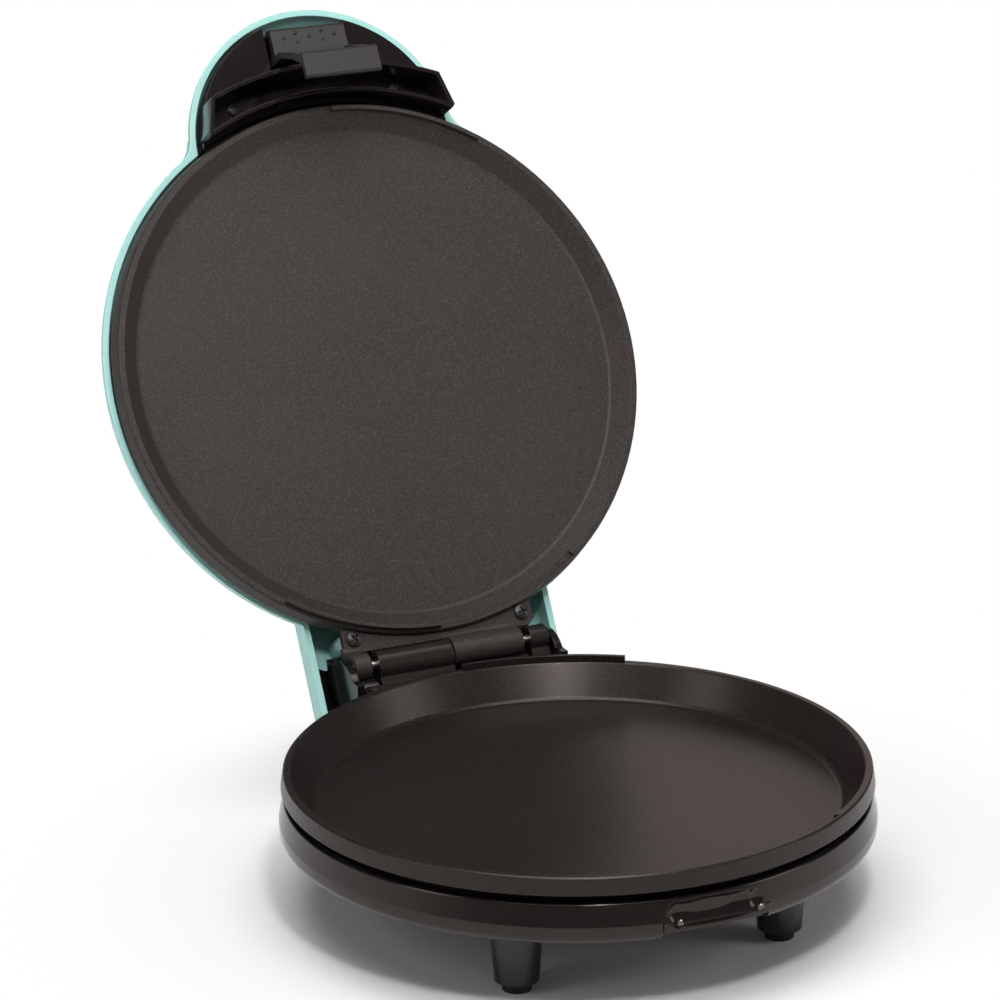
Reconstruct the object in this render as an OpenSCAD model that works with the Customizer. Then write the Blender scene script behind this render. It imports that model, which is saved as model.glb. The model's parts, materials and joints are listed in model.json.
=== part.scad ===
/* [Plates] */
// Outer radius of the cooking plate rims
rim_r = 110; // [90:1:140]
// Height of the lower plate's rim above the table
rim_z = 56.5; // [45:0.5:80]
// Radius of the lower cooking floor
low_floor_r = 98.3; // [80:0.1:120]
// Depth of the lower cooking well
low_depth = 13.3; // [6:0.1:20]
// Radius of the upper cooking floor
up_floor_r = 100.4; // [80:0.1:120]
// Depth of the upper cooking well
up_depth = 6.2; // [4:0.1:15]
// Width of the flat rim
rim_w = 3.2; // [2:0.1:6]
// Thickness of the lower cast cooking floor
floor_t = 4; // [2:0.1:5]
// Thickness of the upper cast cooking floor
up_floor_t = 2.4; // [2:0.1:5]
// Height of the interlocking lips
lip_h = 2.6; // [1:0.1:4]
// Arc covered by each lip, in degrees
lip_arc = 35; // [20:1:60]

/* [Hinge] */
// Distance of the hinge axis behind the plate centre
hinge_y = 120; // [115:0.5:140]
// Height of the hinge axis above the table
hinge_z = 60; // [50:0.5:80]
// Outer radius of the hinge knuckles
knuckle_r = 5.5; // [4:0.1:8]
// Radius of the hinge pin
pin_r = 2; // [1.5:0.1:3]
// Radial running clearance of the hinge bores
run_gap = 0.05; // [0.02:0.01:0.1]
// Opening angle of the lid as shown, in degrees
lid_open = 120; // [0:1:120]

/* [Base] */
// Radius of the housing at its top edge
housing_top_r = 110; // [100:1:130]
// Widest radius of the housing
housing_r = 112; // [100:1:135]
// Height of the housing's top edge
housing_top_z = 46.2; // [40:0.1:60]
// Height of the housing's underside
housing_bot_z = 31; // [20:0.5:40]
// Wall thickness of the moulded housings
wall = 2.5; // [1.5:0.1:4]
// Radius of the legs where they meet the base
leg_r = 10; // [6:0.5:14]
// Sideways position of the front legs
leg_x = 53.2; // [30:0.1:80]
// Forward position of the front legs
leg_y = 61.5; // [30:0.5:90]

/* [Lid] */
// Radius of the lid shell
shell_r = 113; // [100:0.1:130]
// Distance of the shell's centre in front of the plate centre
shell_y = 2; // [0:0.1:6]
// Height of the closed shell's lower edge
shell_z = 73.8; // [65:0.1:90]
// Rounding of the shell's top edge
shell_fillet = 16; // [6:1:24]
// Height of the crown above the rounded edge
crown = 3; // [0:0.5:8]
// Radius of the handle lobe
lobe_r = 57.2; // [40:1:70]
// Distance of the lobe centre in front of the plate centre
lobe_y = 97; // [80:1:120]
// Half width of the lid's rear extension
skirt_x = 53; // [46:0.5:70]
// Distance of the rear extension's end behind the plate centre
skirt_y = 138; // [128:1:150]

/* [Latch] */
// Half width of the latch
latch_w = 16.2; // [10:0.1:24]
// Distance of the latch pivot in front of the plate centre
latch_y = 130; // [120:0.5:140]
// Height of the latch pivot with the lid closed
latch_z = 81; // [76:0.5:86]
// Radius of the latch pin
latch_pin_r = 1.5; // [1:0.1:2.5]

/* [Hidden] */
$fn = 96;
shell_top = shell_z + shell_fillet;
lobe_top = shell_top - 0.8;
skirt_f = 7;
cap_r = shell_r - shell_fillet;
crown_r = (cap_r * cap_r + crown * crown) / (2 * crown);
cover_r = 96;
cover_z = housing_bot_z - 2;
boss_r = 80;
boss_a = [0, 90, 180, 270];
leg_at = [[leg_x, -leg_y], [-leg_x, -leg_y], [38, 108], [-38, 108]];
flange_x = 40.9;
screw_x = 36.3;
screw_y = 107.6;
element_r = 62;
element_t = 3;
low_zu = rim_z - low_depth - floor_t;
up_zu = rim_z - up_depth - up_floor_t;
gland_a = 35;
trough_in = 114;
trough_out = 127.2;
trough_z = 58;
insert_z = 70;
insert_back = 76;
insert_screw_x = 35.5;
insert_screw_y = -115.8;
mid_y = 81.6;

// A wedge of the rim seen from above, from angle a0 to a1 measured from the rear towards +x
module wedge(a0, a1, z0, z1, r = 150) {
  translate([0, 0, z0])
    linear_extrude(z1 - z0)
      polygon([[0, 0], [r * sin(a0), r * cos(a0)],
        [r / cos((a1 - a0) / 2) * sin((a0 + a1) / 2), r / cos((a1 - a0) / 2) * cos((a0 + a1) / 2)],
        [r * sin(a1), r * cos(a1)]]);
}

// A ring of rectangular section
module ring(r0, r1, z0, z1) {
  translate([0, 0, z0])
    difference() {
      cylinder(r = r1, h = z1 - z0, $fn = 180);
      translate([0, 0, -1]) cylinder(r = r0, h = z1 - z0 + 2, $fn = 180);
    }
}

// A bar along x from a profile drawn in y and z
module xbar(x0, x1, pts) {
  translate([x0, 0, 0])
    rotate([90, 0, 90])
      linear_extrude(x1 - x0)
        polygon(pts);
}

// A round rod along x
module xrod(x0, x1, y, z, r) {
  translate([x0, y, z]) rotate([0, 90, 0]) cylinder(r = r, h = x1 - x0);
}

// A round tube between two points
module rod(p, q, r) {
  d = q - p;
  l = norm(d);
  translate(p)
    rotate([0, acos(d[2] / l), atan2(d[1], d[0])])
      cylinder(r = r, h = l, $fn = 24);
}

// Moves plate coordinates to the frame that is centred on the open cooker
module place() {
  translate([0, -mid_y, 0]) children();
}

// Turns closed lid coordinates into the open pose
module lid_pose() {
  translate([0, hinge_y - mid_y, hinge_z])
    rotate([-lid_open, 0, 0])
      translate([0, -hinge_y, -hinge_z])
        children();
}

// Pan head screw with a cross recess, head up at z = 0, shank downwards
module pan_screw(head_r, head_h, shank_r, shank_l) {
  difference() {
    union() {
      intersection() {
        cylinder(r = head_r, h = head_h);
        translate([0, 0, head_h - 2.2 * head_r]) sphere(r = 2.2 * head_r);
      }
      translate([0, 0, -shank_l]) cylinder(r = shank_r, h = shank_l + 0.1);
    }
    translate([-head_r * 0.62, -0.4, head_h - 1.3]) cube([head_r * 1.24, 0.8, 2]);
    translate([-0.4, -head_r * 0.62, head_h - 1.3]) cube([0.8, head_r * 1.24, 2]);
  }
}

// The casting shared by both cooking plates, drawn as the lower one
module plate_casting(fr, depth, ft, bosses, lips, cuts, long_x, small_x) {
  zf = rim_z - depth;
  zu = zf - ft;
  ri = rim_r - rim_w;
  difference() {
    union() {
      rotate_extrude($fn = 180)
        polygon([[0, zu], [fr + 1.5, zu], [105.5, 49.5], [110.5, 49.5], [111, 50],
          [rim_r + 0.1, rim_z - 0.6], [rim_r - 0.5, rim_z], [ri + 0.5, rim_z], [ri, rim_z - 0.5],
          [fr + 1.4, zf + 1.1], [fr + 0.5, zf + 0.25], [fr - 0.6, zf], [0, zf]]);
      ring(101.8, 104.6, 44, min(zf + 3, 50));
      intersection() {
        ring(ri + 0.2, ri + 1.8, rim_z - 1.2, rim_z + lip_h);
        union() for (a = lips) wedge(a[0], a[1], 40, 80);
      }
      difference() {
        union() {
          translate([0, 0, 51])
            linear_extrude(3)
              polygon([[-flange_x, 98], [flange_x, 98], [flange_x, 110.8], [38.5, 113.3],
                [-38.5, 113.3], [-flange_x, 110.8]]);
          for (s = [[-long_x, -0.4], small_x]) {
            xbar(s[0], s[1], [[110.7, 51.4], [110.7, 53.8], [112.6, 54.4], [116, 60], [120, 60], [121, 56],
              [118, 53.6], [113.5, 51.4]]);
            xrod(s[0], s[1], hinge_y, hinge_z, knuckle_r);
          }
          xrod(-long_x, -0.4, hinge_y - 0.7, hinge_z - 1.2, knuckle_r);
        }
        translate([0, 0, 30]) cylinder(r = ri + 1, h = 60, $fn = 180);
      }
      for (a = boss_a)
        rotate([0, 0, a])
          translate([boss_r, 0, zu - bosses]) cylinder(r = 4.5, h = bosses + 0.5);
      ring(element_r - 5.5, element_r - element_t - 0.4, zu - 2.2, zu + 0.5);
      ring(element_r + element_t + 0.4, element_r + 5.5, zu - 2.2, zu + 0.5);
      for (a = [45:90:315])
        rotate([0, 0, a])
          translate([element_r + 5, -1, zu - 2.2]) cube([fr - element_r - 5, 2, 3]);
    }
    intersection() {
      ring(ri - 1, ri + 2.1, rim_z - 1.5, rim_z + 5);
      union() for (a = cuts) wedge(a[0], a[1], 40, 80);
    }
    xrod(-50, 50, hinge_y, hinge_z, pin_r + run_gap);
    for (sx = [-1, 1]) translate([sx * screw_x, screw_y, 40]) cylinder(r = 1.8, h = 20);
    for (a = boss_a)
      rotate([0, 0, a])
        translate([boss_r, 0, zu - bosses - 1]) cylinder(r = 1.6, h = bosses + 2);
    for (a = [75, 105])
      rotate([0, 0, a]) translate([element_r - 7, -3, zu - 4]) cube([14, 6, 4.1]);
  }
}

module lower_plate() {
  color([0.17, 0.16, 0.16]) place()
    plate_casting(low_floor_r, low_depth, floor_t, low_zu - housing_bot_z - 2.4, [[0, lip_arc]],
      [[179.5 - lip_arc, 180]], 32, [33.3, 41]);
}

module upper_plate() {
  color([0.19, 0.18, 0.17])
    lid_pose()
      translate([0, 0, 2 * hinge_z])
        rotate([0, 180, 0])
          plate_casting(up_floor_r, up_depth, up_floor_t, 4, [[0, lip_arc], [180.6, 180 + lip_arc]],
            [[-lip_arc - 0.5, -0.3]], 30.1, [35.2, 41.9]);
}

// Rounded wall profile of the base housing
module housing_profile(inset) {
  r = housing_r - inset;
  f = 4 - inset * 0.4;
  zb = housing_bot_z + inset * 0.96;
  polygon([[0, zb], [r - f, zb], [r, zb + f], [housing_r - inset, 38],
    [housing_top_r - inset + 0.3, housing_top_z - 0.4], [housing_top_r - inset, housing_top_z + inset], [0, housing_top_z + inset]]);
  translate([r - f, zb + f]) circle(r = f);
}

// Side outline of the hinge hump around the axis
module hump_outline(d) {
  intersection() {
    union() {
      translate([hinge_y, hinge_z]) circle(r = 19 - d);
      translate([98, housing_bot_z + d * 0.96]) square([21.5 - d, 60]);
    }
    translate([98, housing_bot_z + d * 0.96]) square([60, 58 - housing_bot_z]);
  }
}

// Cheek beside the knuckle row with a rounded brow
module cheek_outline() {
  hump_outline(0);
  intersection() {
    translate([121.5, 48.5]) circle(r = 14);
    translate([hinge_y, hinge_z]) circle(r = 19);
  }
}

module base_housing() {
  color([0.045, 0.045, 0.05]) place()
    difference() {
      union() {
        difference() {
          union() {
            rotate_extrude($fn = 180)
              intersection() {
                housing_profile(0);
                square([200, 100]);
              }
            translate([-45.2, 0, 0]) rotate([90, 0, 90]) linear_extrude(90.4) hump_outline(0);
            for (s = [-45.2, 42.3])
              translate([s, 0, 0]) rotate([90, 0, 90]) linear_extrude(2.9) cheek_outline();
          }
          rotate_extrude($fn = 180)
            intersection() {
              housing_profile(wall);
              square([200, 100]);
            }
          translate([0, 0, 20]) cylinder(r = 88, h = 20);
          translate([-42.3, 0, 0]) rotate([90, 0, 90]) linear_extrude(84.6) hump_outline(wall);
          translate([-50, 90, 46.2]) cube([100, 16, 30]);
          translate([-42.3, 90, 44]) cube([84.6, 30, 30]);
        }
        intersection() {
          union() {
            ring(105.8, 108.6, 33, 45.6);
            ring(108, 113.3, 34.8, 38.3);
          }
          translate([-18.5, -120, 30]) cube([42.5, 30, 20]);
        }
        for (a = boss_a)
          rotate([0, 0, a])
            translate([boss_r, -6, housing_bot_z]) cube([10, 12, 2.4]);
        for (a = boss_a)
          rotate([0, 0, a])
            translate([boss_r, 0, housing_bot_z]) cylinder(r = 6, h = 2.4);
        for (a = [22.5:45:157.5])
          rotate([0, 0, a + 180])
            translate([92, -0.8, housing_bot_z + 2]) cube([17.5, 1.6, 4.6]);
        for (i = [2, 3])
          translate([leg_at[i][0], leg_at[i][1], cover_z]) cylinder(r = 11, h = 3);
        rotate([0, 0, gland_a])
          translate([0, 107.6, 39]) rotate([-90, 0, 0]) cylinder(r = 7.2, h = 5.2);
        difference() {
          for (sx = [-1, 1])
            translate([sx * screw_x, screw_y, housing_bot_z + 1]) cylinder(r = 3.6, h = 51 - housing_bot_z - 1);
          translate([0, 0, 49.1]) cylinder(r = 111.4, h = 5);
        }
      }
      translate([-18.5, -125, 25]) cube([42.5, 20, 9.8]);
      xrod(-13, 18.5, -114.3, 41.6, 5.5);
      for (x = [-13, 18.5]) translate([x, -114.3, 41.6]) sphere(r = 5.9);
      for (a = boss_a)
        rotate([0, 0, a])
          translate([boss_r, 0, 20]) cylinder(r = 1.8, h = 20);
      rotate([0, 0, gland_a])
        translate([0, 100, 39]) rotate([-90, 0, 0]) cylinder(r = 4.5, h = 20);
      for (i = [2, 3])
        translate([leg_at[i][0], leg_at[i][1], cover_z - 1]) cylinder(r = 3.05, h = 10);
      for (sx = [-1, 1])
        translate([sx * screw_x, screw_y, housing_bot_z + 4]) cylinder(r = 1.45, h = 30);
    }
}

module bottom_cover() {
  color([0.06, 0.06, 0.065]) place()
    difference() {
      union() {
        translate([0, 0, cover_z]) cylinder(r = cover_r, h = 2, $fn = 180);
        ring(83.5, 85.5, cover_z + 1, cover_z + 4);
        for (a = [0:60:300])
          rotate([0, 0, a + 15])
            translate([20, -0.9, cover_z + 1]) cube([63.9, 1.8, 2.1]);
        ring(18.5, 20.5, cover_z + 1, cover_z + 3.1);
      }
      for (i = [0, 1])
        translate([leg_at[i][0], leg_at[i][1], cover_z - 1]) cylinder(r = 3.05, h = 10);
      for (i = [2, 3])
        translate([leg_at[i][0], leg_at[i][1], cover_z - 1]) cylinder(r = 11.3, h = 10);
      for (a = boss_a)
        rotate([0, 0, a])
          translate([boss_r, 0, cover_z - 1]) {
            cylinder(r = 1.8, h = 10);
            translate([0, 0, 3]) cylinder(r = 6.3, h = 10);
            translate([0, -6.3, 3]) cube([12, 12.6, 10]);
          }
      for (a = [0:60:300])
        rotate([0, 0, a + 45])
          for (i = [0:3])
            translate([26 + i * 6, -9 - i * 1.5, cover_z - 1]) cube([2.6, 18 + i * 3, 4]);
    }
}

module legs() {
  color([0.05, 0.05, 0.055]) place()
    for (p = leg_at)
      translate([p[0], p[1], 0])
        difference() {
          union() {
            translate([0, 0, 4]) cylinder(r1 = 8.3, r2 = leg_r, h = cover_z - 4);
            translate([0, 0, cover_z - 1]) cylinder(r = 3, h = 3);
          }
          translate([0, 0, 3]) cylinder(r = 3, h = 8);
        }
}

module foot_pads() {
  color([0.03, 0.03, 0.03]) place()
    for (p = leg_at)
      translate([p[0], p[1], 0]) {
        cylinder(r1 = 5.4, r2 = 5.8, h = 4);
        translate([0, 0, 3.5]) cylinder(r = 2.95, h = 7);
      }
}

// Tubular heating element bent to an open ring with two stub ends
module element(zc) {
  for (s = [1])
    rotate([0, 0, 105])
      translate([0, 0, zc])
        rotate_extrude(angle = 330, $fn = 120)
          translate([element_r, 0]) circle(r = element_t, $fn = 32);
}

// Ceramic beads and welded pins closing the two element ends
module terminals(zc) {
  for (a = [75, 105])
    rotate([0, 0, a])
      translate([element_r, 0, zc])
        rotate([a == 75 ? -90 : 90, 0, 0]) {
          cylinder(r = 2.6, h = 3);
          cylinder(r = 1, h = 8);
          translate([-2, -0.4, 5]) cube([4, 0.8, 4]);
        }
}

module lower_element() {
  color([0.42, 0.41, 0.4]) place() element(low_zu - element_t);
}

module lower_terminals() {
  color([0.85, 0.83, 0.78]) place() terminals(low_zu - element_t);
}

module upper_element() {
  color([0.42, 0.41, 0.4]) lid_pose() element(2 * hinge_z - up_zu + element_t);
}

module upper_terminals() {
  color([0.85, 0.83, 0.78]) lid_pose() terminals(2 * hinge_z - up_zu + element_t);
}

// Pressed steel pan that sends the heat back to the plate
module reflector(z, up) {
  translate([0, 0, z])
    difference() {
      union() {
        cylinder(r = 73, h = 0.8, $fn = 120);
        translate([0, 0, up ? 0 : -2.2]) difference() {
          cylinder(r = 73, h = 3, $fn = 120);
          translate([0, 0, -1]) cylinder(r = 72.2, h = 5, $fn = 120);
        }
      }
      translate([0, 0, -1]) cylinder(r = 14, h = 3);
      for (a = [0:45:315])
        rotate([0, 0, a + 22.5]) translate([36, 0, -1]) cylinder(r = 5, h = 3);
      rotate([0, 0, 90]) translate([50, -27, -4]) cube([30, 54, 8]);
    }
}

module lower_reflector() {
  color([0.72, 0.72, 0.73]) place() reflector(low_zu - 2 * element_t - 0.8, true);
}

module upper_reflector() {
  color([0.72, 0.72, 0.73]) lid_pose() reflector(2 * hinge_z - up_zu + 2 * element_t, false);
}

module thermostat() {
  color([0.8, 0.78, 0.72]) place()
    translate([0, 0, low_zu - 6.5]) {
      cylinder(r = 8.5, h = 6.5);
      for (s = [-1, 1]) translate([s * 4 - 0.4, 4, 1]) cube([0.8, 8, 4]);
    }
}

module thermal_fuse() {
  color([0.75, 0.73, 0.7]) place() {
    xrod(26, 40, 0, low_zu - 2, 2);
    xrod(22, 44, 0, low_zu - 2, 0.5);
  }
}

module terminal_block() {
  color([0.86, 0.85, 0.8]) place()
    rotate([0, 0, gland_a])
      difference() {
        translate([-11.8, 75, cover_z + 2]) cube([23.6, 7, 7.5]);
        for (i = [-1:1]) {
          translate([i * 8, 78.5, cover_z + 5]) cylinder(r = 2.3, h = 6);
          translate([i * 8, 70, cover_z + 6.8]) rotate([-90, 0, 0]) cylinder(r = 1.15, h = 20);
        }
      }
}

module cord_gland() {
  color([0.04, 0.04, 0.045]) place()
    rotate([0, 0, gland_a])
      translate([0, 0, 39])
        difference() {
          union() {
            translate([0, 105, 0]) rotate([-90, 0, 0]) cylinder(r = 4.4, h = 9);
            translate([0, 112.8, 0]) rotate([-90, 0, 0]) cylinder(r1 = 6.6, r2 = 5.6, h = 4.2);
            translate([0, 103, 0]) rotate([-90, 0, 0]) cylinder(r = 5.6, h = 4.6, $fn = 6);
          }
          translate([0, 100, 0]) rotate([-90, 0, 0]) cylinder(r = 3.1, h = 20);
        }
}

module base_wiring() {
  zt = low_zu - element_t - 1;
  color([0.8, 0.8, 0.82]) place() {
    rotate([0, 0, gland_a])
      for (s = [-1, 1]) rod([s * 8, 82.3, 35.8], [s * 1.7, 104, 38.4], 1);
    rod([-8.8, 65.3, zt], [-34.8, 71.4, 35.8], 1);
    rod([7.1, 59.2, zt], [-3.9, 12.9, zt], 1);
    rod([4.5, 13.3, zt], [21.3, 0.9, low_zu - 2], 1);
  }
}

module cover_screws() {
  color([0.75, 0.75, 0.76]) place()
    for (a = boss_a)
      rotate([0, 0, a])
        translate([boss_r, 0, cover_z])
          rotate([180, 0, 0]) pan_screw(3.2, 2, 1.55, low_zu - cover_z - 0.5);
}

module hinge_pin() {
  color([0.7, 0.7, 0.72]) place() xrod(-42.1, 42.1, hinge_y, hinge_z, pin_r);
}

module flange_screws(z, l) {
  for (sx = [-1, 1])
    translate([sx * screw_x, screw_y, z]) rotate([0, 0, sx * 18 + 25]) pan_screw(3, 1.9, 1.4, l);
}

module base_hinge_screws() {
  color([0.2, 0.19, 0.19]) place() flange_screws(54, 12);
}

module lid_hinge_screws() {
  color([0.2, 0.19, 0.19])
    lid_pose()
      translate([0, 0, 2 * hinge_z])
        rotate([0, 180, 0]) flange_screws(54, 12);
}

// Side profile of a round dome with rounding f and top height t, shrunk by d
module dome_profile(r, f, d) {
  intersection() {
    union() {
      translate([r - f, shell_z]) circle(r = f - d);
      translate([0, shell_z]) square([r - f, f - d]);
    }
    translate([0, shell_z]) square([r, 100]);
  }
  if (d > 0)
    translate([0, shell_z - 1]) square([r - d, 1]);
}

// Shallow crown on the round part of the shell, shrunk by d
module crown_profile(d) {
  intersection() {
    translate([0, shell_top + crown - crown_r]) circle(r = crown_r - d, $fn = 720);
    translate([0, shell_z + 4]) square([cap_r - 0.8, 100]);
  }
}

// Outer or inner form of the lid's rear extension
module skirt_form(d) {
  zb = shell_z - (d > 0 ? 1 : 0);
  intersection() {
    translate([0, 0, zb])
      linear_extrude(40) {
        translate([-skirt_x + d, 60]) square([2 * (skirt_x - d), skirt_y - 65]);
        translate([-skirt_x + 5, 60]) square([2 * (skirt_x - 5), skirt_y - 60 - d]);
        for (s = [-1, 1]) translate([s * (skirt_x - 5), skirt_y - 5]) circle(r = 5 - d);
      }
    translate([-80, 0, 0])
      rotate([90, 0, 90])
        linear_extrude(160) {
          translate([50, zb - 5]) square([skirt_y - 50 - d, lobe_top - skirt_f - zb + 5]);
          translate([50, zb - 5]) square([skirt_y - 50 - skirt_f, lobe_top - zb + 5 - d]);
          translate([skirt_y - skirt_f, lobe_top - skirt_f]) circle(r = skirt_f - d);
        }
    translate([0, 150, 0])
      rotate([90, 0, 0])
        linear_extrude(95) {
          translate([-skirt_x + d, zb - 5]) square([2 * (skirt_x - d), lobe_top - skirt_f - zb + 5]);
          translate([-skirt_x + skirt_f, zb - 5]) square([2 * (skirt_x - skirt_f), lobe_top - zb + 5 - d]);
          for (s = [-1, 1]) translate([s * (skirt_x - skirt_f), lobe_top - skirt_f]) circle(r = skirt_f - d);
        }
  }
}

// Outer or inner form of the lid shell in its closed place
module lid_form(d) {
  translate([0, -shell_y, 0])
    rotate_extrude($fn = 120) {
      dome_profile(shell_r, shell_fillet, d);
      crown_profile(d);
    }
  translate([0, -lobe_y, 0]) rotate_extrude($fn = 96) dome_profile(lobe_r, shell_fillet - 0.8, d);
  skirt_form(d);
}

// Small fillet where the lobe runs into the round body
module lobe_blend() {
  for (s = [-1, 1])
    for (k = [[0, 4, 12], [3.5, 3.6, 13.1], [6.5, 3, 14.6]])
      translate([0, 0, shell_z + k[0]])
        linear_extrude(k[1])
          difference() {
            polygon([[s * 62.1, -96.1], [s * 56.4, -105.2], [s * 48, -96]]);
            translate([s * 68.54, -106.5]) circle(r = k[2]);
          }
}

module lid_shell() {
  color([0.66, 0.87, 0.84])
    lid_pose()
      difference() {
        union() {
          difference() {
            union() {
              lid_form(0);
              lobe_blend();
            }
            lid_form(wall);
          }
          difference() {
            for (s = [-1, 1])
              translate([s * screw_x, screw_y, 69]) cylinder(r = 4, h = lobe_top - 70);
            translate([0, 0, 65]) cylinder(r = 111.4, h = 5.9);
          }
          for (s = [-1, 1]) {
            translate([s * insert_screw_x, insert_screw_y, insert_back])
              cylinder(r = 4, h = lobe_top - insert_back - 1);
            translate([s * 40 - 0.9, 124, 81]) cube([1.8, 12.5, lobe_top - 82]);
          }
          for (a = [0, 40, 140, 180, 220, 320])
            rotate([0, 0, a]) translate([101.8, -1, 76]) cube([2.8, 2, 10.3]);
          for (a = [20:40:340])
            rotate([0, 0, a]) translate([77, -0.9, 84.5]) cube([18, 1.8, 4]);
          ring(76, 78, 84.5, 89.5);
        }
        for (s = [-1, 1]) {
          translate([s * screw_x, screw_y, 60]) cylinder(r = 1.45, h = 26);
          translate([s * insert_screw_x, insert_screw_y, 60]) cylinder(r = 1.45, h = 25);
          translate([s * 11, -112, 70]) cylinder(r = 2.6, h = 40);
        }
      }
}

// Plan of the arc-shaped trough, grown by d
module trough_plan(d) {
  intersection() {
    difference() {
      circle(r = trough_out + d, $fn = 120);
      circle(r = trough_in - d, $fn = 120);
    }
    polygon([[-43.6 - d, -140], [43.6 + d, -140], [53.4 + d, -102.8], [46.6 + d, -96],
      [-46.6 - d, -96], [-53.4 - d, -102.8]]);
  }
}

// Plan of the cup that fills the lobe, with radius r
module cup_plan(r) {
  difference() {
    translate([0, -lobe_y]) circle(r = r, $fn = 96);
    circle(r = 112.8, $fn = 120);
  }
}

module handle_insert() {
  color([0.05, 0.047, 0.05])
    lid_pose()
      difference() {
        union() {
          difference() {
            translate([0, 0, insert_z]) linear_extrude(8) cup_plan(53.1);
            translate([0, 0, insert_z + 2.2]) linear_extrude(8) cup_plan(51.3);
          }
          translate([0, 0, trough_z]) linear_extrude(insert_back - trough_z) trough_plan(0);
          xbar(-19.3, 19.3, [[-124.4, 71], [-146.2, 71], [-146.2, 79], [-145.7, 80], [-143.1, 83],
            [-140, 85], [-136.5, 86.1], [-124.4, 86.1]]);
          for (s = [-1, 1])
            translate([s * 30 - 0.8, -138, 71]) cube([1.6, 12, 6]);
        }
        translate([0, 0, trough_z - 1]) linear_extrude(17) trough_plan(-1.6);
        xbar(-17.5, 17.5, [[-128.6, 69], [-160, 69], [-160, 78.6], [-145, 78.6], [-142, 82.4],
          [-139.3, 83.7], [-136.2, 84.8], [-126, 84.8], [-126, 72.4], [-128.6, 72.4]]);
        for (s = [-1, 1])
          translate([s * insert_screw_x, insert_screw_y, 60]) cylinder(r = 1.8, h = 30);
        xrod(-25, 25, -latch_y, latch_z, latch_pin_r);
      }
}

module insert_screws() {
  color([0.12, 0.12, 0.12])
    lid_pose()
      for (s = [-1, 1])
        translate([s * insert_screw_x, insert_screw_y, insert_back - 2])
          rotate([180, 0, 0]) pan_screw(3, 1.8, 1.4, 10);
}

// One signal lens with a collar under the shell
module lens(x) {
  lid_pose()
    translate([x, -112, 0]) {
      translate([0, 0, lobe_top - wall - 1.2]) cylinder(r = 3.6, h = 1.2);
      translate([0, 0, lobe_top - wall - 0.5]) cylinder(r = 2.55, h = wall + 0.9);
    }
}

module power_lens() {
  color([0.8, 0.1, 0.08]) lens(-11);
}

module ready_lens() {
  color([0.15, 0.65, 0.2]) lens(11);
}

module lamp_holder() {
  color([0.3, 0.3, 0.28])
    lid_pose() {
      translate([-17, -118, lobe_top - wall - 3.2]) cube([34, 12, 2]);
      for (s = [-1, 1])
        translate([s * 11, -112, 0])
          for (k = [-1, 1]) translate([k * 1.2, 0, lobe_top - wall - 8]) cylinder(r = 0.4, h = 5);
    }
}

module lid_wiring() {
  zt = 2 * hinge_z - up_zu + element_t + 0.9;
  color([0.8, 0.8, 0.82])
    lid_pose()
      for (s = [-1, 1]) rod([s * 8.3, 64.9, zt], [s * 4.2, 99, zt + 2.5], 1);
}

module latch_pin() {
  color([0.7, 0.7, 0.72]) lid_pose() xrod(-19.2, 19.2, -latch_y, latch_z, latch_pin_r - 0.01);
}

module latch() {
  color([0.21, 0.2, 0.19])
    lid_pose() {
      difference() {
        union() {
          xrod(-latch_w, latch_w, -latch_y, latch_z, 3.4);
          xbar(-latch_w, latch_w, [[-133.4, 81], [-130.5, 78], [-130.5, 60], [-126.2, 48],
            [-122.6, 41.5], [-121, 38.6], [-114.5, 38.4], [-114.5, 36.6], [-115.3, 35.8],
            [-124.2, 35.8], [-125.4, 37], [-125.6, 40], [-129, 48], [-133.4, 61]]);
          xbar(-latch_w, latch_w, [[-133, 70.5], [-131, 65.2], [-143.8, 65.8], [-145, 66.8],
            [-145.2, 71], [-143.6, 72.6], [-142.6, 71.6], [-142.6, 69], [-136, 69]]);
        }
        xrod(-25, 25, -latch_y, latch_z, latch_pin_r + run_gap);
        translate([-12.6, -140, 43.6]) cube([25.2, 20, 18]);
      }
      for (p = [[-11, -140.5], [0, -140.5], [11, -140.5], [-5.6, -142.4], [-5.6, -138.6], [5.6, -142.4], [5.6, -138.6]])
        translate([p[0], p[1], 66]) sphere(r = 0.95, $fn = 32);
    }
}

base_housing();
bottom_cover();
legs();
foot_pads();
lower_plate();
lower_element();
lower_terminals();
lower_reflector();
thermostat();
thermal_fuse();
terminal_block();
cord_gland();
base_wiring();
cover_screws();
hinge_pin();
base_hinge_screws();
lid_shell();
handle_insert();
upper_plate();
upper_element();
upper_terminals();
upper_reflector();
lid_hinge_screws();
insert_screws();
power_lens();
ready_lens();
lamp_holder();
lid_wiring();
latch_pin();
latch();
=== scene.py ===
import json
import math

import bpy
from mathutils import Matrix, Vector


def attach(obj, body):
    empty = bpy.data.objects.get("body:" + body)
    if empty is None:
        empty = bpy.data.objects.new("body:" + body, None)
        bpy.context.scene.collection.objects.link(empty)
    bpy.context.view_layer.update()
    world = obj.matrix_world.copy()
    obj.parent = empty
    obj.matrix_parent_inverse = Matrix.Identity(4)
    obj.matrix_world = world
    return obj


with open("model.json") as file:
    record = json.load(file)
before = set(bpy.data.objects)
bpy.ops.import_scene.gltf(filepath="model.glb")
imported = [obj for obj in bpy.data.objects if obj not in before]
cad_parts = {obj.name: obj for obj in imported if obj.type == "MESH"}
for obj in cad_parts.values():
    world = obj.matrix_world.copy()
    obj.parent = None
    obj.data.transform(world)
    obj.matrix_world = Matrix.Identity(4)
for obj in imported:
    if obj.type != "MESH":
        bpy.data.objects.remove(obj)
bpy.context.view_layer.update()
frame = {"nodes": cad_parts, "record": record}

scene = bpy.context.scene
scene.view_settings.view_transform = "Standard"

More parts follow.
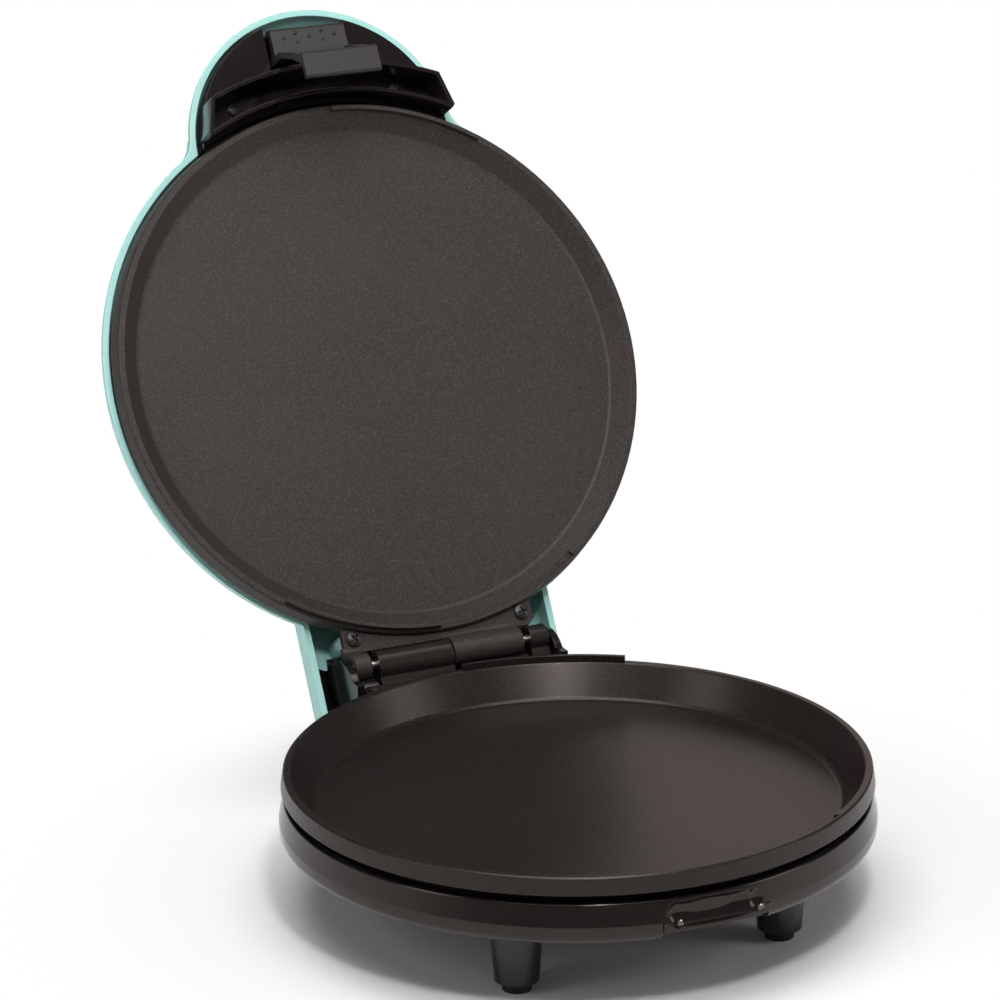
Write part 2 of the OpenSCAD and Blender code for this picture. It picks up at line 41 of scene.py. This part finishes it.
# Places in millimetres, with y = 0 at the lower plate's centre and the lid drawn closed
PLATE_Y = 81.6  # how far the plate's centre lies in front of the frame's origin
HINGE_Y, HINGE_Z = 120.0, 60.0
LID_TILT = -120  # degrees about the hinge, from closed to the shown opening
MM_PER_M = 1000

# Materials: linear colours, noise scales in cycles per metre, lengths in metres
TONE_SCALE = 14.0
BLEND_BAND = (0.3, 0.7)
SPECK_BAND = (0.48, 0.72)
BEVEL_SAMPLES = 6
WARM_TINT = (1.0, 0.87, 0.82, 1)
# Specular level of the black sheets that paint the shade inside the lid's pocket
POCKET_SHADE_SPECULAR = 0.25
BLACK, WHITE = (0, 0, 0), (1, 1, 1)


def principled(m):
    return m.node_tree.nodes["Principled BSDF"]


def ramp(nt, fac, c0, c1, p0=0.0, p1=1.0):
    """A blend from c0 at p0 to c1 at p1, driven by fac."""
    n = nt.nodes.new("ShaderNodeValToRGB")
    n.color_ramp.elements[0].position = p0
    n.color_ramp.elements[1].position = p1
    n.color_ramp.elements[0].color = (*c0, 1)
    n.color_ramp.elements[1].color = (*c1, 1)
    nt.links.new(fac, n.inputs["Fac"])
    return n.outputs["Color"]


def noise(nt, scale, detail, rough):
    """Noise in object space."""
    tc = nt.nodes.new("ShaderNodeTexCoord")
    n = nt.nodes.new("ShaderNodeTexNoise")
    n.inputs["Scale"].default_value = scale
    n.inputs["Detail"].default_value = detail
    n.inputs["Roughness"].default_value = rough
    nt.links.new(tc.outputs["Object"], n.inputs["Vector"])
    return n.outputs["Fac"]


def finish_mat(name, c0, c1, rough, grain, bump, bump_size=0.0002, metal=0.0, round_r=0.0,
               spec=None, trans=0.0, speck=None):
    """One finish: two close colours, a roughness band and fine relief, all procedural.

    grain is the noise scale of relief and specks; round_r is how far shading rounds an edge.
    """
    m = bpy.data.materials.new(name)
    m.use_nodes = True
    nt = m.node_tree
    b = principled(m)
    n_wide = noise(nt, TONE_SCALE, 4.0, 0.55)
    n_fine = noise(nt, grain, 3.0, 0.6)
    tint = ramp(nt, n_wide, c0, c1, *BLEND_BAND)
    if speck:
        grains = ramp(nt, n_fine, BLACK, WHITE, *SPECK_BAND)
        blend = nt.nodes.new("ShaderNodeMix")
        blend.data_type = "RGBA"
        nt.links.new(grains, blend.inputs["Factor"])
        nt.links.new(tint, blend.inputs["A"])
        nt.links.new(ramp(nt, n_wide, speck, speck), blend.inputs["B"])
        tint = blend.outputs["Result"]
    nt.links.new(tint, b.inputs["Base Color"])
    r0, r1 = rough
    nt.links.new(ramp(nt, n_fine, (r0, r0, r0), (r1, r1, r1), *BLEND_BAND), b.inputs["Roughness"])
    b.inputs["Metallic"].default_value = metal
    b.inputs["Transmission Weight"].default_value = trans
    if spec is not None:
        b.inputs["Specular IOR Level"].default_value = spec
    bm = nt.nodes.new("ShaderNodeBump")
    bm.inputs["Strength"].default_value = bump
    bm.inputs["Distance"].default_value = bump_size
    nt.links.new(n_fine, bm.inputs["Height"])
    if round_r:
        bv = nt.nodes.new("ShaderNodeBevel")
        bv.samples = BEVEL_SAMPLES
        bv.inputs["Radius"].default_value = round_r
        nt.links.new(bv.outputs["Normal"], bm.inputs["Normal"])
    nt.links.new(bm.outputs["Normal"], b.inputs["Normal"])
    return m


FINISHES = {
    # Outside mouldings
    "housing_gloss": dict(c0=(0.007, 0.0055, 0.0052), c1=(0.009, 0.0075, 0.007),
                          rough=(0.10, 0.16), grain=700, bump=0.03, spec=0.42, round_r=0.0005),
    "cover_black": dict(c0=(0.012, 0.012, 0.012), c1=(0.017, 0.016, 0.016),
                        rough=(0.45, 0.6), grain=1500, bump=0.2, round_r=0.0003),
    "leg_black": dict(c0=(0.006, 0.0055, 0.0055), c1=(0.009, 0.008, 0.008),
                      rough=(0.25, 0.35), grain=900, bump=0.08, round_r=0.0004),
    "foot_rubber": dict(c0=(0.006, 0.006, 0.006), c1=(0.01, 0.01, 0.01),
                        rough=(0.6, 0.75), grain=1600, bump=0.3),
    # Coated castings
    "plate_cast": dict(c0=(0.0095, 0.0080, 0.0075), c1=(0.0130, 0.0110, 0.0102),
                       rough=(0.24, 0.36), grain=1300, bump=0.22, bump_size=0.00008,
                       round_r=0.0005, spec=0.38, speck=(0.020, 0.0165, 0.015)),
    "plate_cast_upper": dict(c0=(0.022, 0.0192, 0.0178), c1=(0.028, 0.0245, 0.023),
                             rough=(0.40, 0.52), grain=1300, bump=0.4, bump_size=0.00014,
                             round_r=0.0005, spec=0.35, speck=(0.062, 0.054, 0.049)),
    # Inside
    "element_steel": dict(c0=(0.20, 0.17, 0.14), c1=(0.28, 0.25, 0.22),
                          rough=(0.3, 0.45), grain=900, bump=0.1, metal=1.0),
    "ceramic_beads": dict(c0=(0.70, 0.66, 0.58), c1=(0.78, 0.75, 0.68),
                          rough=(0.5, 0.65), grain=1200, bump=0.2),
    "pan_steel": dict(c0=(0.55, 0.55, 0.56), c1=(0.65, 0.65, 0.66),
                      rough=(0.2, 0.35), grain=600, bump=0.1, metal=1.0),
    "control_steel": dict(c0=(0.5, 0.48, 0.45), c1=(0.6, 0.58, 0.55),
                          rough=(0.3, 0.45), grain=800, bump=0.1, metal=1.0),
    "block_plastic": dict(c0=(0.72, 0.70, 0.62), c1=(0.78, 0.76, 0.70),
                          rough=(0.4, 0.5), grain=900, bump=0.1),
    "gland_rubber": dict(c0=(0.008, 0.008, 0.008), c1=(0.012, 0.012, 0.012),
                         rough=(0.5, 0.65), grain=1400, bump=0.25),
    "wire_sleeve": dict(c0=(0.6, 0.6, 0.62), c1=(0.75, 0.75, 0.77),
                        rough=(0.6, 0.75), grain=2500, bump=0.4),
    # Screws and pins
    "screw_steel": dict(c0=(0.5, 0.5, 0.5), c1=(0.6, 0.6, 0.6),
                        rough=(0.25, 0.35), grain=900, bump=0.1, metal=1.0),
    "screw_dark": dict(c0=(0.028, 0.026, 0.025), c1=(0.04, 0.037, 0.035),
                       rough=(0.3, 0.42), grain=1500, bump=0.2, metal=0.4, round_r=0.0002),
    "pin_steel": dict(c0=(0.5, 0.5, 0.5), c1=(0.6, 0.6, 0.6),
                      rough=(0.2, 0.3), grain=900, bump=0.05, metal=1.0),
    # Lid and latch
    "shell_aqua": dict(c0=(0.42, 0.745, 0.70), c1=(0.435, 0.76, 0.715),
                       rough=(0.16, 0.24), grain=500, bump=0.02, round_r=0.0006),
    "insert_gloss": dict(c0=(0.007, 0.005, 0.006), c1=(0.011, 0.008, 0.009),
                         rough=(0.12, 0.2), grain=800, bump=0.04, round_r=0.0004),
    "lens_red": dict(c0=(0.45, 0.02, 0.015), c1=(0.5, 0.03, 0.02),
                     rough=(0.08, 0.12), grain=500, bump=0.02, trans=0.4),
    "lens_green": dict(c0=(0.02, 0.28, 0.05), c1=(0.03, 0.34, 0.06),
                       rough=(0.08, 0.12), grain=500, bump=0.02, trans=0.4),
    "holder_plastic": dict(c0=(0.2, 0.2, 0.19), c1=(0.26, 0.26, 0.25),
                           rough=(0.4, 0.5), grain=900, bump=0.1),
    "latch_matte": dict(c0=(0.020, 0.0175, 0.0165), c1=(0.025, 0.022, 0.021),
                        rough=(0.42, 0.52), grain=1800, bump=0.15, bump_size=0.0001,
                        round_r=0.0005),
}
MATS = {slot: finish_mat(slot, **values) for slot, values in FINISHES.items()}
for warm in ("housing_gloss", "plate_cast", "plate_cast_upper", "insert_gloss"):
    principled(MATS[warm]).inputs["Specular Tint"].default_value = WARM_TINT
for sp in frame["record"]["subparts"]:
    o = frame["nodes"][sp["node"]]
    o.data.materials.clear()
    o.data.materials.append(MATS[sp["material_slot"]])

# Thin trim that the solids lack, and black sheets that paint the shade inside the lid's pocket:
# outlines in plan between two heights
BASE = Matrix.Translation((0, -PLATE_Y, 0))
LID = (Matrix.Translation((0, HINGE_Y - PLATE_Y, HINGE_Z))
       @ Matrix.Rotation(math.radians(LID_TILT), 4, "X")
       @ Matrix.Translation((0, -HINGE_Y, -HINGE_Z)))
PLACES = {"base": BASE, "lid": LID}
EDGE_MM = 0.3
RIB_X, RIB_HALF = 40, 1.6


def prism(name, outline, z0, z1, mat, body="lid"):
    """A flat piece from an outline in plan, between two heights."""
    place = PLACES[body]
    n = len(outline)
    verts = [place @ Vector((x, y, z)) / MM_PER_M for z in (z0, z1) for x, y in outline]
    faces = [list(range(n))[::-1], list(range(n, 2 * n))]
    faces += [[i, (i + 1) % n, n + (i + 1) % n, n + i] for i in range(n)]
    me = bpy.data.meshes.new(name)
    me.from_pydata(verts, [], faces)
    me.validate()
    ob = bpy.data.objects.new(name, me)
    scene.collection.objects.link(ob)
    me.materials.append(mat)
    bv = ob.modifiers.new("edges", "BEVEL")
    bv.width = EDGE_MM / MM_PER_M
    bv.segments = 2
    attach(ob, body)


def box(x0, x1, y0, y1):
    """The outline of a rectangle."""
    return [(x0, y0), (x1, y0), (x1, y1), (x0, y1)]


def arc(r, a0, a1, n):
    """Points on a circle about the plate's centre, angles in degrees from the front towards +x."""
    turns = [math.radians(a0 + (a1 - a0) * i / n) for i in range(n + 1)]
    return [(r * math.sin(t), -r * math.cos(t)) for t in turns]


def band(r_out, r_in, a0, a1, n):
    """The outline of a curved strip between two radii."""
    return arc(r_out, a0, a1, n) + arc(r_in, a1, a0, n)


# Painted shade: black sheets, a copy of the insert's gloss with weaker specular, lining the
# ceiling, back and rib sides of the lid's pocket where it lies in shadow
pocket_shade = MATS["insert_gloss"].copy()
pocket_shade.name = "pocket_painted_shade_black"
principled(pocket_shade).inputs["Specular IOR Level"].default_value = POCKET_SHADE_SPECULAR
prism("pocket_ceiling_painted_shade", [(-49.9, 112.6), (-44, 115.5), (44, 115.5), (49.9, 112.6), (49.9, 131.2),
                         (45.5, 134.9), (-45.5, 134.9), (-49.9, 131.2)], 84.6, 86.0, pocket_shade)
prism("pocket_back_painted_shade", box(-48.2, 48.2, 134.0, 135.2), 74.2, 84.2, pocket_shade)
# Painted shade over the pocket's ribs, one on each side
for side, word in ((-1, "left"), (1, "right")):
    rib_x = side * RIB_X
    prism("pocket_rib_painted_shade_" + word, box(rib_x - RIB_HALF, rib_x + RIB_HALF, 123.2, 134.6),
          80.3, 84.9, pocket_shade)
prism("scoop_backing", band(109.3, 107.4, -9, 12, 12), 35.2, 45.0, MATS["housing_gloss"], "base")
prism("insert_shelf", band(114.4, 105.9, -27, 27, 24), 74.4, 75.8, MATS["insert_gloss"])

# Studio floor: real shading near the object fades to plain white for the camera further out
FLOOR_SIZE = 30
FADE_X, FADE_RADIUS = 0.01, 0.34
FADE_BAND = (0.30, 0.64)
bpy.ops.mesh.primitive_plane_add(size=FLOOR_SIZE, location=(0, 0, 0))
floor = bpy.context.object
floor.name = "studio_floor"
fm = bpy.data.materials.new("floor_white")
fm.use_nodes = True
ft = fm.node_tree
fb = principled(fm)
fb.inputs["Base Color"].default_value = (0.93, 0.93, 0.93, 1)
fb.inputs["Roughness"].default_value = 0.7
fb.inputs["Specular IOR Level"].default_value = 0.2
tc = ft.nodes.new("ShaderNodeTexCoord")
mp = ft.nodes.new("ShaderNodeMapping")
mp.inputs["Location"].default_value = (-FADE_X / FADE_RADIUS,
                                       PLATE_Y / MM_PER_M / FADE_RADIUS, 0)
mp.inputs["Scale"].default_value = (1 / FADE_RADIUS, 1 / FADE_RADIUS, 1)
ft.links.new(tc.outputs["Object"], mp.inputs["Vector"])
gr = ft.nodes.new("ShaderNodeTexGradient")
gr.gradient_type = "SPHERICAL"
ft.links.new(mp.outputs["Vector"], gr.inputs["Vector"])
fade = ramp(ft, gr.outputs["Fac"], WHITE, BLACK, *FADE_BAND)
fade.node.color_ramp.interpolation = "EASE"
flp = ft.nodes.new("ShaderNodeLightPath")
mul = ft.nodes.new("ShaderNodeMath")
mul.operation = "MULTIPLY"
ft.links.new(fade, mul.inputs[0])
ft.links.new(flp.outputs["Is Camera Ray"], mul.inputs[1])
glow = ft.nodes.new("ShaderNodeEmission")
glow.inputs["Color"].default_value = (1, 1, 1, 1)
glow.inputs["Strength"].default_value = 1.0
fmix = ft.nodes.new("ShaderNodeMixShader")
ft.links.new(mul.outputs[0], fmix.inputs["Fac"])
ft.links.new(fb.outputs["BSDF"], fmix.inputs[1])
ft.links.new(glow.outputs["Emission"], fmix.inputs[2])
ft.links.new(fmix.outputs["Shader"], ft.nodes["Material Output"].inputs["Surface"])
floor.data.materials.append(fm)

# World: a dim warm room that the camera sees as white
ROOM_COLOR, ROOM_STRENGTH = (1.0, 0.95, 0.92, 1), 0.14
world = bpy.data.worlds.new("studio_world")
scene.world = world
world.use_nodes = True
wn = world.node_tree
bg = wn.nodes["Background"]
bg.inputs["Color"].default_value = ROOM_COLOR
bg.inputs["Strength"].default_value = ROOM_STRENGTH
white = wn.nodes.new("ShaderNodeBackground")
white.inputs["Color"].default_value = (1, 1, 1, 1)
white.inputs["Strength"].default_value = 1.0
lp = wn.nodes.new("ShaderNodeLightPath")
mix = wn.nodes.new("ShaderNodeMixShader")
wn.links.new(lp.outputs["Is Camera Ray"], mix.inputs["Fac"])
wn.links.new(bg.outputs["Background"], mix.inputs[1])
wn.links.new(white.outputs["Background"], mix.inputs[2])
wn.links.new(mix.outputs["Shader"], wn.nodes["World Output"].inputs["Surface"])


def area(name, loc, target, size, power, size_y=None, color=WHITE):
    """A soft light aimed at a point, in metres and watts: square, or size_y high."""
    ld = bpy.data.lights.new(name, "AREA")
    ld.energy = power
    ld.size = size
    ld.color = color
    if size_y:
        ld.shape = "RECTANGLE"
        ld.size_y = size_y
    lo = bpy.data.objects.new(name, ld)
    scene.collection.objects.link(lo)
    lo.location = loc
    lo.rotation_euler = (Vector(target) - Vector(loc)).to_track_quat("-Z", "Y").to_euler()
    lo.visible_camera = False


area("top_panel", (-0.15, -0.35, 1.5), (0, -0.05, 0.05), 1.3, 18)
area("back_panel", (0.85, 1.05, 0.50), (0.05, -0.1, 0.05), 0.9, 1.1, 0.7, (1.0, 0.82, 0.76))
area("right_panel", (1.3, -0.9, 0.7), (0, -0.05, 0.1), 0.6, 4.5, 0.9)
area("left_panel", (-1.5, -0.2, 0.8), (0, 0.05, 0.15), 0.5, 4, 1.0)
area("edge_light", (-0.25, -0.95, 1.25), (0, 0.0, 0.08), 0.16, 6.5)

# Camera, solved from the photograph: millimetres, and pixels of an image 1000 pixels wide
FOCAL_PX, IMAGE_PX, SENSOR_MM = 4437.224, 1000, 36
SHIFT_X_PX, SHIFT_Y_PX = 77.619, 277.71
AZIMUTH, ELEVATION, ROLL = (math.radians(v) for v in (23.757, 18.32, -0.821))
DIST, AIM_Z = 1658.632, 50
forward = Vector((math.sin(AZIMUTH) * math.cos(ELEVATION), math.cos(AZIMUTH) * math.cos(ELEVATION),
                  -math.sin(ELEVATION)))
level = Vector((math.cos(AZIMUTH), -math.sin(AZIMUTH), 0))
upright = level.cross(forward)
right = level * math.cos(ROLL) + upright * math.sin(ROLL)
up = -level * math.sin(ROLL) + upright * math.cos(ROLL)
eye = (Vector((0, -PLATE_Y, AIM_Z)) - right * SHIFT_X_PX * DIST / FOCAL_PX
       + up * SHIFT_Y_PX * DIST / FOCAL_PX - forward * DIST)
cam = bpy.data.cameras.new("camera")
cam.sensor_width = SENSOR_MM
cam.lens = SENSOR_MM * FOCAL_PX / IMAGE_PX
cam.clip_end = 50
cam.clip_start = 0.05
co = bpy.data.objects.new("camera", cam)
scene.collection.objects.link(co)
m = Matrix((right, up, -forward)).transposed().to_4x4()
m.translation = eye / MM_PER_M
co.matrix_world = m
scene.camera = co
